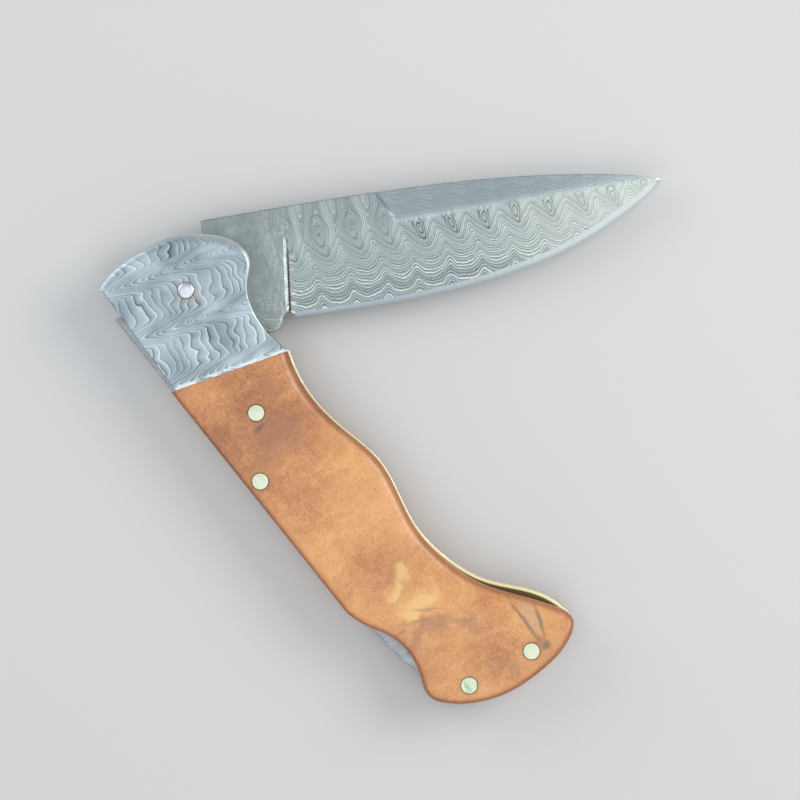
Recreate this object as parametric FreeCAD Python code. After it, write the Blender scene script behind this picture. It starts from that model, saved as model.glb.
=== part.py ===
import FreeCAD, Part
import math
import os

# Folding pocket knife with a lock bar that is released at the butt, in millimetres.
# The origin is on the pivot axis, on the underside. +X runs along the spine to the butt,
# +Y to the belly where the blade comes out, and +Z to the front side.

# Layers through the thickness
scale_thickness = 3.9
liner_thickness = 1.0
side_gap = 0.25               # liner to tang, filled by a washer
blade_thickness = 3.0

# Clearances
fixed_fit = 0.02              # round a pin in a piece that stays put
running_fit = 0.05            # round a pin in a piece that turns on it
washer_play = 0.02            # washer to tang
bar_side_play = 0.1           # lock bar or spring to each liner
lock_play = 0.1               # tooth to the walls of the notch
tooth_tip_play = 0.2          # tooth to the floor of the notch
lug_play = 0.16               # lifted tooth to the round back of the tang
stop_play = 0.12              # kick to the lock bar, closed
spring_play = 0.1             # spring to the lock bar's tail
tip_room = 0.5                # closed blade to the butt spacer

# Pins
pin_diameter = 3.2
pivot_dome = 0.4              # height of the pivot's front head
washer_diameter = 10.0
bolster_pin_diameter = 2.0
bolster_pin_depth = 2.0       # into the bolster
bolster_pin_places = [(9.5, -9.0), (11.5, 3.5)]
rivet_place = (26.4, -4.0)

# Blade in its own axes: along the blade from the pivot, and across it towards the spine
rest_angle = 61.2             # blade to handle, half open
closed_angle = 3.2
tip_reach = 92.8
tip_height = 5.9
spine_height = 12.85          # pivot to the spine at the tang
ricasso_reach = 20.8          # pivot to the start of the cutting edge
heel_depth = 8.2              # pivot to the start of the cutting edge, across the blade
# Further sections: share of the way from there to the tip, height of the edge and of the spine
blade_sections = [(0.19, -8.6, 12.7), (0.385, -8.3, 12.35), (0.58, -6.65, 11.4), (0.715, -4.45, 10.3),
                  (0.853, -0.6, 8.7), (0.924, 2.0, 7.6), (0.967, 3.9, 6.75)]
grind_height = 6.6            # ridge where the bevel meets the false edge
grind_bend = 12.0             # length in front of which the ridge runs down to the tip
tip_thickness = 0.5
taper_length = 35.0           # length over which the ridge thins to the tip
edge_shoulder = 0.6           # thickness where the ground edge begins
edge_thickness = 0.08
edge_width = 1.2
false_edge_thickness = 1.0    # at the spine
false_edge_start = 41.4       # pivot to its start on the ridge
false_edge_slant = 0.58       # how far its start leans back per height
past_spine = 2.0              # how far the false edge's cut runs past the spine
plunge_slant = 0.1            # how far the plunge line leans forward per height
plunge_reach = 19.4           # pivot to the plunge line, level with the pivot
groove_width = 1.3
groove_depth = 0.35
choil_reach = 18.3
choil_depth = 8.5
choil_radius = 1.35
kick_reach = 13.6
kick_length = 2.2
notch_floor = 7.2             # pivot to the floor of the lock notch
lug_end_angle = 110.0         # where the round back behind the notch ends
relief_end_angle = 250.0      # where the relieved back of the tang ends

# Lock bar
spine_offset = 14.2           # pivot axis to the wood's spine
lock_lift = 2.05              # degrees from locked to lifted
rocker_reach = 37.0           # pivot to the pin that the bar rocks on
rocker_depth = 2.73           # that pin below the spine
bar_depth = 3.85
tooth_front = 4.55            # both sides of the tooth, ahead of the pivot
tooth_rear = 1.0
tooth_draft = 0.2             # how far the tooth's front leans back at its tip
boss_wall = 1.0
boss_blend = 3.5              # length over which the bar swells to the boss
# Tail of the locked bar: distance from the butt and depth below the wood's spine
tail_knee = (36.0, 0.0)
tail_back = [(22.8, 0.5), (18.7, 0.8), (14.2, 1.7)]
tail_round = (13.8, 2.5)
tail_front = [(14.8, 3.3), (18.2, 4.0), (28.2, 4.8)]
spring_thickness = 1.2
spring_root = 2.8             # length held in the spacer
spring_depth = 6.5            # root below the wood's spine
spring_bow = 0.8

# Handle
butt_room = 5.4               # blade tip to the butt, along the handle
nose_reach = 11.7
nose_corner_step = 0.9        # spine corner of the nose behind its foremost point
# Nose: distance behind its foremost point and height, then places on its way to the belly
nose_front = [(0.0, -7.4), (0.6, -1.1), (2.1, 4.5)]
nose_belly = [(-6.9, 8.6), (-2.1, 12.8), (1.6, 13.5), (3.9, 12.4), (6.6, 9.5), (9.6, 7.9), (14.0, 7.1)]
joint_place = (21.0, 8.1)     # bolster joint at the belly
joint_slant = 19.0
# Belly of the wood: share of the way from the joint to its end at the butt, and height
belly_waves = [(0.132, 6.2), (0.252, 7.1), (0.38, 8.7), (0.575, 6.35), (0.689, 7.0), (0.807, 10.3),
               (0.9155, 16.3)]
# Butt: distance from the butt and height
butt_round = [(6.2, 18.65), (3.6, 18.5), (1.6, 16.1), (0.0, 8.35), (0.7, 0.15)]
# Heel and thumb notch: distance from the butt and depth below the wood's spine
butt_heel = [(4.4, 6.4), (9.1, 2.3)]
thumb_notch = [(14.2, 3.7), (18.7, 4.5), (23.8, 3.3), (26.9, 1.6), (31.8, 0.0)]
belly_pin_back = 4.13         # butt pins from the butt
belly_pin_height = 8.69
spine_pin_back = 6.41
spine_pin_depth = 9.65        # below the wood's spine
liner_proud = 0.3             # liner past the wood along the belly
scale_rounding = 1.6
nose_rounding = 0.9
spacer_length = 10.6          # butt to the spacer's inner face
spacer_step = 3.0             # spacer's inner corner below the closed blade's point
swing_angle = 8.0             # degrees that the spacer is cleared past the closed tip

pin_radius = pin_diameter / 2
butt = tip_reach + butt_room
lift_slope = math.tan(math.radians(lock_lift))
rocker = (rocker_reach, rocker_depth - spine_offset)
tooth_tip = notch_floor + tooth_tip_play
up = FreeCAD.Vector(0, 0, 1)

# Levels from the underside
rear_liner_low = scale_thickness
gap_low = rear_liner_low + liner_thickness
tang_low = gap_low + side_gap
tang_high = tang_low + blade_thickness
gap_high = tang_high + side_gap
front_liner_high = gap_high + liner_thickness
top = front_liner_high + scale_thickness
blade_middle = (tang_low + tang_high) / 2


def place(x, y, z=0.0):
    return FreeCAD.Vector(x, y, z)


def from_butt(back, depth):
    # a point given by its distance from the butt and its depth below the wood's spine
    return (butt - back, depth - spine_offset)


def bolster_spine(x):
    # spine edge of the bolster, flush with the locked bar
    return (rocker_reach - x) * lift_slope - spine_offset


def bar_face(x):
    # inner face of the locked bar, ahead of its pin
    return bolster_spine(x) + bar_depth


def line(a, b):
    return Part.makeLine(place(*a), place(*b))


def run(points):
    return [line(a, b) for a, b in zip(points, points[1:])]


def curve(points):
    spline = Part.BSplineCurve()
    spline.interpolate([place(*p) for p in points])
    return spline.toShape()


def arc(radius, start, end):
    # arc about the pivot, through the middle of the two angles in degrees
    steps = [math.radians(a) for a in (start, (start + end) / 2, end)]
    points = [place(radius * math.cos(a), radius * math.sin(a)) for a in steps]
    return Part.Arc(*points).toShape()


def polar(radius, angle):
    turn = math.radians(angle)
    return (radius * math.cos(turn), radius * math.sin(turn))


def turned(point, angle):
    turn = math.radians(angle)
    x, y = point
    return (x * math.cos(turn) - y * math.sin(turn), x * math.sin(turn) + y * math.cos(turn))


def plate(edges, low, high):
    face = Part.Face(Part.Wire(edges))
    face.translate(place(0, 0, low))
    return face.extrude(up * (high - low))


def pin(at, radius, low, high):
    return Part.makeCylinder(radius, high - low, place(at[0], at[1], low))


def drilled(solid, places, radius):
    for at in places:
        solid = solid.cut(pin(at, radius, -top, 2 * top))
    return solid


def rounded(solid, level, radius, wanted):
    # rounds the edges on one level whose middle satisfies the test
    edges = []
    for edge in solid.Edges:
        middle = edge.valueAt((edge.FirstParameter + edge.LastParameter) / 2)
        on_level = all(abs(v.Z - level) < 1e-6 for v in edge.Vertexes)
        if on_level and wanted(middle):
            edges.append(edge)
    return solid.makeFillet(radius, edges)


# Handle outline
joint_slope = math.tan(math.radians(joint_slant))


def joint_x(y):
    return joint_place[0] - (joint_place[1] - y) * joint_slope


wood_joint = (joint_x(-spine_offset), -spine_offset)
bolster_joint_y = bolster_spine(wood_joint[0])
bolster_joint = (joint_x(bolster_joint_y), bolster_joint_y)
nose_corner_x = nose_corner_step - nose_reach
nose_corner = (nose_corner_x, bolster_spine(nose_corner_x))
nose_points = [nose_corner] + [(x - nose_reach, y) for x, y in nose_front] + nose_belly + [joint_place]
butt_points = [(butt - back, y) for back, y in butt_round] + [from_butt(*p) for p in butt_heel]
belly_length = butt_points[0][0] - joint_place[0]
wave_points = [(joint_place[0] + share * belly_length, y) for share, y in belly_waves]
belly_points = [joint_place] + wave_points + butt_points[:1]
notch_points = butt_points[-1:] + [from_butt(*p) for p in thumb_notch]

belly_pin_place = (butt - belly_pin_back, belly_pin_height)
spine_pin_place = from_butt(spine_pin_back, spine_pin_depth)
through_pins = [rocker, belly_pin_place, spine_pin_place]


def wood_edges(inset):
    # belly, butt, thumb notch and spine, with the belly drawn in by the inset
    belly = [(x, y - inset) for x, y in belly_points]
    belly[0] = (joint_x(belly[0][1]), belly[0][1])
    back = [belly[-1]] + butt_points[1:]
    return [curve(belly), curve(back), curve(notch_points), line(notch_points[-1], wood_joint)]


def bolster_edges():
    return [line(bolster_joint, nose_corner), curve(nose_points)]


def liner(low):
    edges = bolster_edges() + wood_edges(0.0) + [line(wood_joint, bolster_joint)]
    solid = plate(edges, low, low + liner_thickness)
    solid = drilled(solid, through_pins + [(0, 0), rivet_place], pin_radius + fixed_fit)
    return drilled(solid, bolster_pin_places, bolster_pin_diameter / 2 + fixed_fit)


def bolster(low, outside, inside):
    edges = bolster_edges() + [line(joint_place, bolster_joint)]
    solid = plate(edges, low, low + scale_thickness)
    solid = rounded(solid, outside, nose_rounding, lambda m: m.y > 0)
    solid = drilled(solid, [(0, 0)], pin_radius + fixed_fit)
    depth = bolster_pin_depth if outside > inside else -bolster_pin_depth
    ends = sorted([inside, inside + depth])
    for at in bolster_pin_places:
        solid = solid.cut(pin(at, bolster_pin_diameter / 2 + fixed_fit, *ends))
    return solid


def scale(low, outside):
    edges = wood_edges(liner_proud)
    start = edges[0].Vertexes[0].Point
    edges.append(line(wood_joint, (start.x, start.y)))
    solid = plate(edges, low, low + scale_thickness)
    solid = rounded(solid, outside, scale_rounding, lambda m: m.x > joint_x(m.y) + fixed_fit)
    return drilled(solid, through_pins + [rivet_place], pin_radius + fixed_fit)


# Blade
def kick_height(reach):
    # the kick stops just short of the dropped bar when the blade is closed
    turn = math.radians(closed_angle)
    return (bar_face(reach) + stop_play - reach * math.sin(turn)) / math.cos(turn)


def section_reach(share):
    return ricasso_reach + share * (tip_reach - ricasso_reach)


def ridge_height(reach):
    past = max(0.0, reach - (tip_reach - grind_bend)) / grind_bend
    return grind_height - (grind_height - tip_height) * past ** 2


def ridge_half(reach):
    past = max(0.0, reach - (tip_reach - taper_length)) / taper_length
    return (blade_thickness - (blade_thickness - tip_thickness) * past ** 1.5) / 2


def blade_outline():
    shoulder = tooth_front + lock_play
    notch_back = tooth_rear - lock_play
    lug_radius = tooth_tip + (rocker_reach + tooth_rear) * lift_slope - lug_play
    lug_start = (notch_back, math.sqrt(lug_radius ** 2 - notch_back ** 2))
    lug_angle = math.degrees(math.atan2(lug_start[1], lug_start[0]))
    # the back falls from the lug along a tangent of the relief round
    fall_angle = lug_end_angle + math.degrees(math.acos(notch_floor / lug_radius))
    tip = (tip_reach, tip_height)
    heel = (ricasso_reach, -heel_depth)
    spine_start = (ricasso_reach, spine_height)
    spine = [spine_start] + [(section_reach(share), high) for share, _, high in blade_sections] + [tip]
    edge = [tip] + [(section_reach(share), low) for share, low, _ in reversed(blade_sections)] + [heel]
    kick_front = kick_reach + kick_length
    under = [heel, (choil_reach - 0.8 * choil_radius, -heel_depth),
             (kick_front, kick_height(kick_front)), (kick_reach, kick_height(kick_reach)),
             polar(notch_floor, relief_end_angle)]
    back = [polar(notch_floor, fall_angle), polar(lug_radius, lug_end_angle)]
    notch = [lug_start, (notch_back, notch_floor), (shoulder, notch_floor),
             (shoulder, spine_height), spine_start]
    edges = [curve(spine), curve(edge)] + run(under)
    edges += [arc(notch_floor, relief_end_angle, fall_angle)] + run(back)
    return edges + [arc(lug_radius, lug_end_angle, lug_angle)] + run(notch)


def bevel_cutter(side):
    # takes the main bevel and the ground edge off one face, from the plunge line to past the tip
    outer = blade_thickness
    stations = [(ricasso_reach, -heel_depth)]
    stations += [(section_reach(share), low) for share, low, _ in blade_sections]
    stations += [(tip_reach, tip_height - edge_width), (tip_reach + edge_width, tip_height)]
    sections = []
    for index, (reach, low) in enumerate(stations):
        ridge = ridge_height(min(reach, tip_reach))
        half = ridge_half(min(reach, tip_reach))
        low = min(low, ridge - edge_width)
        shoulder = low + min(edge_width, (ridge - low) / 2)
        shoulder_half = min(edge_shoulder / 2, 0.7 * half)
        edge_half = min(edge_thickness / 2, 0.7 * shoulder_half)
        below = low - edge_width
        profile = [(ridge, outer), (ridge, half), (shoulder, shoulder_half), (low, edge_half),
                   (below, edge_half), (below, outer)]
        points = []
        for height, z in profile:
            start = plunge_reach + plunge_slant * height
            points.append(place(start if index == 0 else reach, height, side * z))
        sections.append(Part.makePolygon(points + points[:1]))
    return Part.makeLoft(sections, True, True)


def false_edge_cutter(side):
    # takes the false edge off one face, from its slanted start to past the tip
    outer = blade_thickness
    stations = [(false_edge_start, spine_height)]
    stations += [(section_reach(share), high) for share, _, high in blade_sections
                 if section_reach(share) > false_edge_start + past_spine]
    stations += [(tip_reach, tip_height + edge_width), (tip_reach + edge_width, tip_height + edge_width)]
    sections = []
    for index, (reach, high) in enumerate(stations):
        ridge = ridge_height(min(reach, tip_reach))
        half = ridge_half(min(reach, tip_reach))
        spine_half = min(false_edge_thickness / 2, 0.8 * half)
        fall = (half - spine_half) / max(high - ridge, edge_width)
        beyond = high + past_spine
        profile = [(ridge, outer), (ridge, half), (beyond, half - fall * (beyond - ridge)),
                   (beyond, outer)]
        points = []
        for height, z in profile:
            start = false_edge_start - false_edge_slant * (height - ridge)
            points.append(place(start if index == 0 else reach, height, side * z))
        sections.append(Part.makePolygon(points + points[:1]))
    return Part.makeLoft(sections, True, True)


def plunge_groove(side):
    radius = (groove_width ** 2 / 4 + groove_depth ** 2) / (2 * groove_depth)
    level = side * (blade_thickness / 2 - groove_depth + radius)
    low = -heel_depth - groove_width
    length = grind_height - groove_width - low
    start = place(plunge_reach + plunge_slant * low, low, level)
    return Part.makeCylinder(radius, length, start, place(plunge_slant, 1, 0))


def blade():
    solid = plate(blade_outline(), -blade_thickness / 2, blade_thickness / 2)
    for side in (1, -1):
        solid = solid.cut(bevel_cutter(side))
        solid = solid.cut(false_edge_cutter(side))
        solid = solid.cut(plunge_groove(side))
    solid = solid.cut(pin((choil_reach, -choil_depth), choil_radius, -blade_thickness, blade_thickness))
    solid = solid.cut(pin((0, 0), pin_radius + running_fit, -blade_thickness, blade_thickness))
    solid.rotate(place(0, 0), up, rest_angle)
    solid.translate(place(0, 0, blade_middle))
    return solid


# Lock bar, drawn locked and then lifted about its pin
tail_inner = [from_butt(*p) for p in tail_front]


def lock_bar():
    head = (-tooth_front, bolster_spine(-tooth_front))
    crown = (rocker_reach, -spine_offset)
    knee = from_butt(*tail_knee)
    tail = [knee] + [from_butt(*p) for p in tail_back]
    boss = rocker[1] + pin_radius + boss_wall
    boss_half = pin_radius + 2 * boss_wall
    inner = tail_inner + [(rocker_reach + boss_half + boss_blend, tail_inner[-1][1]),
                          (rocker_reach + boss_half, boss), (rocker_reach - boss_half, boss)]
    front = rocker_reach - boss_half - boss_blend
    tooth = [(front, bar_face(front)), (-tooth_rear, bar_face(-tooth_rear)),
             (-tooth_rear, -tooth_tip), (tooth_draft - tooth_front, -tooth_tip), head]
    end_points = [tail[-1], from_butt(*tail_round), tail_inner[0]]
    end = Part.Arc(*[place(*p) for p in end_points]).toShape()
    edges = run([head, crown, knee]) + [curve(tail), end] + run(inner + tooth)
    solid = plate(edges, gap_low + bar_side_play, gap_high - bar_side_play)
    solid = drilled(solid, [rocker], pin_radius + running_fit)
    solid.rotate(place(*rocker), up, lock_lift)
    return solid


def lifted(point):
    # where a point of the locked bar lies when the bar is lifted
    x, y = turned((point[0] - rocker[0], point[1] - rocker[1]), lock_lift)
    return (x + rocker[0], y + rocker[1])


# Butt spacer and the leaf spring that it holds
spacer_face = butt - spacer_length
slot_half = spring_thickness / 2 + fixed_fit


def spring_line(shift):
    # the leaf's long side, bowed from its root to the end that bears on the bar's tail
    touch = lifted(tail_inner[-1])
    tip = (touch[0], touch[1] + spring_play + spring_thickness / 2 + shift)
    root = (spacer_face, spring_depth - spine_offset + shift)
    middle = ((tip[0] + root[0]) / 2, (tip[1] + root[1]) / 2 + spring_bow)
    return tip, middle, root


def lock_spring():
    outer = spring_line(-spring_thickness / 2)
    inner = spring_line(spring_thickness / 2)
    root_end = spacer_face + spring_root
    edges = [Part.Arc(*[place(*p) for p in outer]).toShape()]
    edges += run([outer[2], (root_end, outer[2][1]), (root_end, inner[2][1]), inner[2]])
    edges.append(Part.Arc(*[place(*p) for p in reversed(inner)]).toShape())
    edges.append(line(inner[0], outer[0]))
    return plate(edges, gap_low + bar_side_play, gap_high - bar_side_play)


def butt_spacer():
    # the butt end of the handle outline, cut back to leave room for the closed blade
    tip = turned((tip_reach, tip_height), closed_angle)
    share, low, _ = blade_sections[-1]
    near_tip = turned((section_reach(share), low), closed_angle)
    along = place(near_tip[0] - tip[0], near_tip[1] - tip[1]).normalize()
    away = (-along.y * tip_room, along.x * tip_room)
    swing_radius = math.hypot(*tip) + tip_room
    tip_angle = math.degrees(math.atan2(tip[1], tip[0]))
    far_angle = tip_angle + swing_angle
    inner = [polar(swing_radius, tip_angle), (tip[0] + away[0], tip[1] + away[1]),
             (near_tip[0] + away[0], near_tip[1] + away[1]),
             (spacer_face, near_tip[1] - spacer_step), (spacer_face, -butt), (2 * butt, -butt),
             (2 * butt, butt), polar(swing_radius, far_angle)]
    room = plate([arc(swing_radius, far_angle, tip_angle)] + run(inner), gap_low, gap_high)
    outline = bolster_edges() + wood_edges(0.0) + [line(wood_joint, bolster_joint)]
    solid = plate(outline, gap_low, gap_high).common(room)
    slot = Part.makeBox(spring_root, 2 * slot_half, gap_high - gap_low,
                        place(spacer_face, spring_depth - spine_offset - slot_half, gap_low))
    solid = solid.cut(slot)
    return drilled(solid, [belly_pin_place, spine_pin_place], pin_radius + fixed_fit)


# Pins and washers
def pivot_pin():
    dome_radius = (pin_radius ** 2 + pivot_dome ** 2) / (2 * pivot_dome)
    ball = Part.makeSphere(dome_radius, place(0, 0, top + pivot_dome - dome_radius))
    head = ball.common(pin((0, 0), pin_radius, top, top + pivot_dome))
    return pin((0, 0), pin_radius, 0, top).fuse(head).removeSplitter()


def washer(low):
    ring = pin((0, 0), washer_diameter / 2, low, low + side_gap - washer_play)
    return drilled(ring, [(0, 0)], pin_radius + fixed_fit)


def bolster_pins(low, high):
    return Part.makeCompound([pin(at, bolster_pin_diameter / 2, low, high) for at in bolster_pin_places])


nodes = {
    "blade": blade(),
    "pivot_pin": pivot_pin(),
    "front_pivot_washer": washer(tang_high + washer_play),
    "rear_pivot_washer": washer(gap_low),
    "front_bolster": bolster(front_liner_high, top, front_liner_high),
    "rear_bolster": bolster(0.0, 0.0, scale_thickness),
    "front_scale": scale(front_liner_high, top),
    "rear_scale": scale(0.0, 0.0),
    "front_liner": liner(gap_high),
    "rear_liner": liner(rear_liner_low),
    "lock_bar": lock_bar(),
    "lock_bar_pin": pin(rocker, pin_radius, 0, top),
    "lock_spring": lock_spring(),
    "butt_spacer": butt_spacer(),
    "butt_pin_belly": pin(belly_pin_place, pin_radius, 0, top),
    "butt_pin_spine": pin(spine_pin_place, pin_radius, 0, top),
    "front_scale_rivet": pin(rivet_place, pin_radius, gap_high, top),
    "rear_scale_rivet": pin(rivet_place, pin_radius, 0, gap_low),
    "front_bolster_pins": bolster_pins(gap_high, front_liner_high + bolster_pin_depth),
    "rear_bolster_pins": bolster_pins(scale_thickness - bolster_pin_depth, gap_low),
}

os.makedirs("parts", exist_ok=True)
for name, shape in nodes.items():
    shape.exportStep("parts/" + name + ".step")
    print(name, len(shape.Solids), "solid", "valid" if shape.isValid() else "NOT VALID", round(shape.Volume, 2))
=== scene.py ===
import math
from types import SimpleNamespace

import bpy
import numpy as np
from mathutils import Matrix, Vector
from mathutils.geometry import delaunay_2d_cdt


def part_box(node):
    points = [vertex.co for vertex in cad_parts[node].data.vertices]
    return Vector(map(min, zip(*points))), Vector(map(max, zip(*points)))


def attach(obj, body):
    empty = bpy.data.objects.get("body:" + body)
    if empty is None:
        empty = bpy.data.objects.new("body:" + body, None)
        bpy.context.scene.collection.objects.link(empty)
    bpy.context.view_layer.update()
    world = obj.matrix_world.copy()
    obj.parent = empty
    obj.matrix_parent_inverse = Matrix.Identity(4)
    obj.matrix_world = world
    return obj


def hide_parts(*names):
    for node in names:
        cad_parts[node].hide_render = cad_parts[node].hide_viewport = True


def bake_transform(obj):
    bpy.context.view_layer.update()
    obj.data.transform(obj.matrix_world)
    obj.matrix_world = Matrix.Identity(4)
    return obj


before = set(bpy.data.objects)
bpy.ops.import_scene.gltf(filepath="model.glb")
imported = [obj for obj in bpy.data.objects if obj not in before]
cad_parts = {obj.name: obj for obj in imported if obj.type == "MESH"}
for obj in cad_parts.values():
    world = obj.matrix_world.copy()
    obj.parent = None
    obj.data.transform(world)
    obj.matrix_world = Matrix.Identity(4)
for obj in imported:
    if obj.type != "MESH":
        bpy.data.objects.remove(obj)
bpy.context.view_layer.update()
mm = 0.001
print("frame loaded")


# Curves in the plane, as arrays of points in millimetres

def splineThrough(points, step=0.3):
    # cubic spline by chord length whose end spans bend evenly, sampled about every step
    p = np.array(points, float)
    t = np.concatenate([[0.0], np.cumsum(np.hypot(*np.diff(p, axis=0).T))])
    h = np.diff(t)
    inner = np.arange(1, len(p) - 1)
    left = np.eye(len(p))
    left[inner, inner - 1] = h[:-1]
    left[inner, inner] = 2 * (h[:-1] + h[1:])
    left[inner, inner + 1] = h[1:]
    left[0, 1] = left[-1, -2] = -1
    slope = np.diff(p, axis=0) / h[:, None]
    right = np.zeros_like(p)
    right[inner] = 6 * np.diff(slope, axis=0)
    bend = np.linalg.solve(left, right)
    s = np.linspace(0, t[-1], max(3, int(t[-1] / step)))
    k = np.clip(np.searchsorted(t, s, "right") - 1, 0, len(h) - 1)
    span = h[k][:, None]
    after = (s - t[k])[:, None]
    before = span - after
    cubic = (bend[k] * before ** 3 + bend[k + 1] * after ** 3) / (6 * span)
    fromStart = (p[k] / span - bend[k] * span / 6) * before
    fromEnd = (p[k + 1] / span - bend[k + 1] * span / 6) * after
    return cubic + fromStart + fromEnd


def straightRun(points, step=0.3):
    # straight lines through the points, sampled about every step
    p = np.array(points, float)
    runs = []
    for a, b in zip(p, p[1:]):
        count = max(2, int(np.hypot(*(b - a)) / step) + 1)
        runs.append(np.linspace(a, b, count)[:-1])
    return np.concatenate(runs + [p[-1:]])


def arcRun(centre, radius, start, end, step=0.25):
    # arc between two angles in degrees
    count = max(5, int(abs(math.radians(end - start)) * radius / step))
    a = np.radians(np.linspace(start, end, count))
    return np.array(centre) + radius * np.column_stack([np.cos(a), np.sin(a)])


def closedLoop(*runs):
    # runs that follow each other round, each without its last point, made counter-clockwise
    loop = np.concatenate([r[:-1] for r in runs])
    x, y = loop.T
    area = np.sum(x * np.roll(y, -1) - y * np.roll(x, -1))
    return loop if area > 0 else loop[::-1]


def ringHole(centre, radius, count=48):
    # clockwise, so that the material is on its left as it is inside an outline
    return arcRun(centre, radius, 360, 0, 2 * math.pi * radius / count)[:-1]


def turned(points, degrees, about=(0.0, 0.0)):
    a = math.radians(degrees)
    spin = np.array([[math.cos(a), math.sin(a)], [-math.sin(a), math.cos(a)]])
    return (np.array(points, float) - about) @ spin + about


def backward(points):
    return np.array(points, float)[::-1]


def smoothStep(x):
    x = np.clip(x, 0, 1)
    return x * x * (3 - 2 * x)


# Sheets: points inside an outline, and plates whose heights are functions of x and y

batch = 2000        # points measured at a time
tiny = 1e-12        # keeps sides of no length or no rise out of a division
weldGap = 1e-5      # nearer points become one
gridRow = 0.866     # rows of the grid lie this share of its spacing apart
gridClear = 0.55    # the grid keeps this share of its spacing from the rim rows
lineClear = 0.5     # and this share from the crease lines
rowNear = 0.96      # a rim row drops the points that lie nearer than this share to another side


def segmentDistance(points, starts, ends, values=None):
    # distance to the nearest of many segments, with the value that belongs to that one
    far = np.empty(len(points))
    found = np.zeros(len(points))
    along = ends - starts
    size = np.maximum((along ** 2).sum(1), tiny)
    for i in range(0, len(points), batch):
        gap = points[i:i + batch, None, :] - starts[None]
        t = np.clip((gap * along).sum(2) / size, 0, 1)
        d = np.sqrt(((gap - t[..., None] * along) ** 2).sum(2))
        near = d.argmin(1)
        far[i:i + batch] = d[np.arange(len(near)), near]
        if values is not None:
            found[i:i + batch] = values[near]
    return far if values is None else (far, found)


def runDistance(points, runs):
    # distance to the nearest of some open runs
    starts = np.concatenate([run[:-1] for run in runs])
    return segmentDistance(points, starts, np.concatenate([run[1:] for run in runs]))


def loopSides(loops):
    return np.concatenate(loops), np.concatenate([np.roll(loop, -1, axis=0) for loop in loops])


def insideLoops(points, loops):
    # even-odd rule: a ray to the right crosses the loops an odd number of times
    starts, ends = loopSides(loops)
    (ax, ay), (bx, by) = starts.T, ends.T
    rise = np.where(by == ay, tiny, by - ay)
    inside = np.empty(len(points), bool)
    for i in range(0, len(points), batch):
        px, py = points[i:i + batch, :1], points[i:i + batch, 1:]
        crossed = ((ay > py) != (by > py)) & (px < (bx - ax) * (py - ay) / rise + ax)
        inside[i:i + batch] = crossed.sum(1) % 2 == 1
    return inside


def gridInside(loops, spacing):
    # the points of a triangular grid that lie inside the loops
    low, high = loops[0].min(0), loops[0].max(0)
    gx, gy = np.meshgrid(np.arange(low[0], high[0], spacing), np.arange(low[1], high[1], spacing * gridRow))
    gx[1::2] += spacing / 2
    grid = np.column_stack([gx.ravel(), gy.ravel()])
    return grid[insideLoops(grid, loops)]


def rimRows(loops, rows):
    # the loops' own points, moved inwards by the distance of each row
    starts, ends = loopSides(loops)
    side = np.concatenate([np.roll(loop, -1, axis=0) - np.roll(loop, 1, axis=0) for loop in loops])
    side = side[:, ::-1] * [-1, 1] / np.hypot(*side.T)[:, None]
    found = []
    for row in rows:
        rim = starts + row * side
        rim = rim[insideLoops(rim, loops)]
        found.append(rim[segmentDistance(rim, starts, ends) > rowNear * row])
    return found


def sheetOf(outline, holes=(), lines=(), spacing=1.0, rows=()):
    # the loops, a grid, rows beside every rim and the crease lines, triangulated inside the outline
    loops = [outline, *holes]
    starts, ends = loopSides(loops)
    grid = gridInside(loops, spacing)
    grid = grid[segmentDistance(grid, starts, ends) > max(rows, default=0.0) + gridClear * spacing]
    if len(lines):
        grid = grid[runDistance(grid, lines) > lineClear * spacing]
    points = [starts, grid, *rimRows(loops, rows)]
    edges = []
    base = 0
    for loop in loops:
        ids = base + np.arange(len(loop))
        edges += np.column_stack([ids, np.roll(ids, -1)]).tolist()
        base += len(loop)
    base = sum(len(p) for p in points)
    for line in lines:
        ids = base + np.arange(len(line))
        edges += np.column_stack([ids[:-1], ids[1:]]).tolist()
        base += len(line)
    made = delaunay_2d_cdt(np.concatenate([*points, *lines]).tolist(), edges, [], 0, weldGap)
    flat = np.array(made[0])
    tris = np.array(made[2])
    tris = tris[insideLoops(flat[tris].mean(1), loops)]
    used, tris = np.unique(tris, return_inverse=True)
    tris = tris.reshape(-1, 3)
    flat = flat[used]
    a, b, c = (flat[tris[:, i]] for i in range(3))
    clockwise = np.cross(b - a, c - a) < 0
    tris[clockwise] = tris[clockwise][:, ::-1]
    return flat, tris


def roundOff(distance, radius):
    # how far a quarter round of that radius falls below the face, at a distance from the rim
    inside = np.clip(radius - distance, 0, radius)
    return radius - np.sqrt(np.maximum(radius ** 2 - inside ** 2, 0))


def roundRows(radius, count):
    # distances from the rim at equal steps round a quarter circle
    return list(radius * (1 - np.cos(np.linspace(0, math.pi / 2, count + 1)[1:])))


def rimFall(flat, runs, radii):
    # the deepest of the quarter rounds along the runs, each radius a number or one for every point of its run
    fall = np.zeros(len(flat))
    for run, radius in zip(runs, radii):
        distance, value = segmentDistance(flat, run[:-1], run[1:], np.broadcast_to(radius, len(run))[:-1])
        fall = np.maximum(fall, roundOff(distance, value))
    return fall


def newPiece(name, mesh, body, nodes, materials, sharp=30):
    # one finished piece: shaded smooth between its sharp edges, riding on its body in place of its nodes
    for material in materials:
        mesh.materials.append(material)
    mesh.shade_smooth()
    mesh.set_sharp_from_angle(angle=math.radians(sharp))
    piece = bpy.data.objects.new(name, mesh)
    bpy.context.scene.collection.objects.link(piece)
    if body:
        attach(piece, body)
    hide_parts(*nodes)
    return piece


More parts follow.
